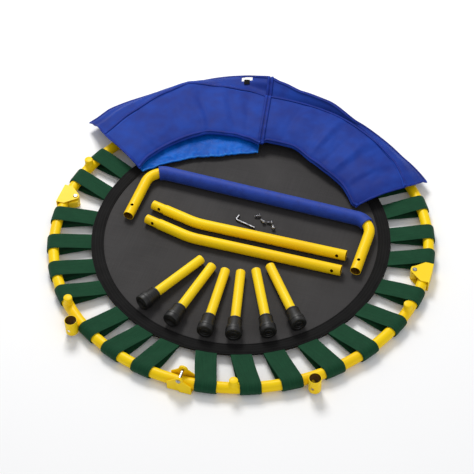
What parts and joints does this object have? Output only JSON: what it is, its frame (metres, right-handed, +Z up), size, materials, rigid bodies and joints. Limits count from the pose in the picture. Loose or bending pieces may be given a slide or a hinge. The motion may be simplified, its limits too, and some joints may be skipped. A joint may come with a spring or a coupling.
{
  "type": "mini trampoline",
  "caption": "Folding mini trampoline laid out as a kit: hinged tube ring with banded mat, loose legs, handlebar, padded cover and hardware.",
  "frame": {"origin": "middle of the kit's footprint, on the floor it lies on", "axes": "+Z up from the floor, with the frame on its back; the fold line runs along Y, the left half is at -X and the handlebar sockets are at -Y"},
  "size_m": [0.945, 1.006, 0.0779],
  "materials": {
    "yellow_powder_coat": "satin yellow powder coat",
    "green_webbing": "woven dark green webbing with a black border",
    "mat_fabric": "tight woven dark grey jumping fabric",
    "black_rubber": "matt moulded black rubber",
    "blue_foam": "soft blue foam",
    "plated_steel": "bright zinc plate",
    "blue_pad_cloth": "coated blue cloth over foam"
  },
  "bodies": {
    "left_half": {"ring_tube_far_left": "yellow_powder_coat", "webbing_far_left": "green_webbing", "ring_tube_near_left": "yellow_powder_coat", "webbing_near_left": "green_webbing", "mat_left": "mat_fabric", "fold_leaf_near_left": "yellow_powder_coat", "fold_pin_near": "plated_steel", "fold_leaf_far_left": "yellow_powder_coat", "fold_pin_far": "plated_steel", "swing_channel_left": "yellow_powder_coat", "swing_tongue_left": "yellow_powder_coat", "swing_pin_left": "plated_steel"},
    "right_half": {"ring_tube_far_right": "yellow_powder_coat", "webbing_far_right": "green_webbing", "ring_tube_near_right": "yellow_powder_coat", "webbing_near_right": "green_webbing", "mat_right": "mat_fabric", "fold_leaf_near_right": "yellow_powder_coat", "fold_leaf_far_right": "yellow_powder_coat", "swing_channel_right": "yellow_powder_coat", "swing_tongue_right": "yellow_powder_coat", "swing_pin_right": "plated_steel"},
    "leg_1": {"leg_1_tube": "yellow_powder_coat", "leg_1_foot": "black_rubber"},
    "leg_2": {"leg_2_tube": "yellow_powder_coat", "leg_2_foot": "black_rubber"},
    "leg_3": {"leg_3_tube": "yellow_powder_coat", "leg_3_foot": "black_rubber"},
    "leg_4": {"leg_4_tube": "yellow_powder_coat", "leg_4_foot": "black_rubber"},
    "leg_5": {"leg_5_tube": "yellow_powder_coat", "leg_5_foot": "black_rubber"},
    "leg_6": {"leg_6_tube": "yellow_powder_coat", "leg_6_foot": "black_rubber"},
    "handlebar": {"handlebar_tube": "yellow_powder_coat", "foam_grip": "blue_foam"},
    "lower_bar_far_body": {"lower_bar_far": "yellow_powder_coat"},
    "lower_bar_near_body": {"lower_bar_near": "yellow_powder_coat"},
    "hex_key_body": {"hex_key": "plated_steel"},
    "bolt_1_body": {"bolt_1": "plated_steel"},
    "bolt_2_body": {"bolt_2": "plated_steel"},
    "bolt_3_body": {"bolt_3": "plated_steel"},
    "bolt_4_body": {"bolt_4": "plated_steel"},
    "frame_pad": {"frame_pad_right": "blue_pad_cloth", "frame_pad_left": "blue_pad_cloth"}
  },
  "joints": [
    {"name": "frame_fold", "type": "hinge", "parent": "left_half", "child": "right_half", "pos_m": [0.01225, -0.0382, 0.03923], "axis": [0, -1, 0], "range_deg": [0, 175]},
    {"name": "leg_1_lift", "type": "slide", "parent": "left_half", "child": "leg_1", "axis": [0, 0, 1], "range_m": [0, 1.65]},
    {"name": "leg_2_lift", "type": "slide", "parent": "left_half", "child": "leg_2", "axis": [0, 0, 1], "range_m": [0, 1.65]},
    {"name": "leg_3_lift", "type": "slide", "parent": "left_half", "child": "leg_3", "axis": [0, 0, 1], "range_m": [0, 1.65]},
    {"name": "leg_4_lift", "type": "slide", "parent": "left_half", "child": "leg_4", "axis": [0, 0, 1], "range_m": [0, 1.65]},
    {"name": "leg_5_lift", "type": "slide", "parent": "left_half", "child": "leg_5", "axis": [0, 0, 1], "range_m": [0, 1.65]},
    {"name": "leg_6_lift", "type": "slide", "parent": "left_half", "child": "leg_6", "axis": [0, 0, 1], "range_m": [0, 1.65]},
    {"name": "handlebar_lift", "type": "slide", "parent": "left_half", "child": "handlebar", "axis": [0, 0, 1], "range_m": [0, 1.65]},
    {"name": "lower_bar_far_lift", "type": "slide", "parent": "left_half", "child": "lower_bar_far_body", "axis": [0, 0, 1], "range_m": [0, 1.65]},
    {"name": "lower_bar_near_lift", "type": "slide", "parent": "left_half", "child": "lower_bar_near_body", "axis": [0, 0, 1], "range_m": [0, 1.65]},
    {"name": "hex_key_lift", "type": "slide", "parent": "left_half", "child": "hex_key_body", "axis": [0, 0, 1], "range_m": [0, 1.65]},
    {"name": "bolt_1_lift", "type": "slide", "parent": "left_half", "child": "bolt_1_body", "axis": [0, 0, 1], "range_m": [0, 1.65]},
    {"name": "bolt_2_lift", "type": "slide", "parent": "left_half", "child": "bolt_2_body", "axis": [0, 0, 1], "range_m": [0, 1.65]},
    {"name": "bolt_3_lift", "type": "slide", "parent": "left_half", "child": "bolt_3_body", "axis": [0, 0, 1], "range_m": [0, 1.65]},
    {"name": "bolt_4_lift", "type": "slide", "parent": "left_half", "child": "bolt_4_body", "axis": [0, 0, 1], "range_m": [0, 1.65]},
    {"name": "frame_pad_lift", "type": "slide", "parent": "left_half", "child": "frame_pad", "axis": [0, 0, 1], "range_m": [0, 1.65]}
  ],
  "couplings": [
    {"joint": "leg_1_lift", "follows": "frame_fold", "m_per_rad": 0.52},
    {"joint": "leg_2_lift", "follows": "frame_fold", "m_per_rad": 0.52},
    {"joint": "leg_3_lift", "follows": "frame_fold", "m_per_rad": 0.52},
    {"joint": "leg_4_lift", "follows": "frame_fold", "m_per_rad": 0.52},
    {"joint": "leg_5_lift", "follows": "frame_fold", "m_per_rad": 0.52},
    {"joint": "leg_6_lift", "follows": "frame_fold", "m_per_rad": 0.52},
    {"joint": "handlebar_lift", "follows": "frame_fold", "m_per_rad": 0.52},
    {"joint": "lower_bar_far_lift", "follows": "frame_fold", "m_per_rad": 0.52},
    {"joint": "lower_bar_near_lift", "follows": "frame_fold", "m_per_rad": 0.52},
    {"joint": "hex_key_lift", "follows": "frame_fold", "m_per_rad": 0.52},
    {"joint": "bolt_1_lift", "follows": "frame_fold", "m_per_rad": 0.52},
    {"joint": "bolt_2_lift", "follows": "frame_fold", "m_per_rad": 0.52},
    {"joint": "bolt_3_lift", "follows": "frame_fold", "m_per_rad": 0.52},
    {"joint": "bolt_4_lift", "follows": "frame_fold", "m_per_rad": 0.52},
    {"joint": "frame_pad_lift", "follows": "frame_fold", "m_per_rad": 0.52}
  ]
}
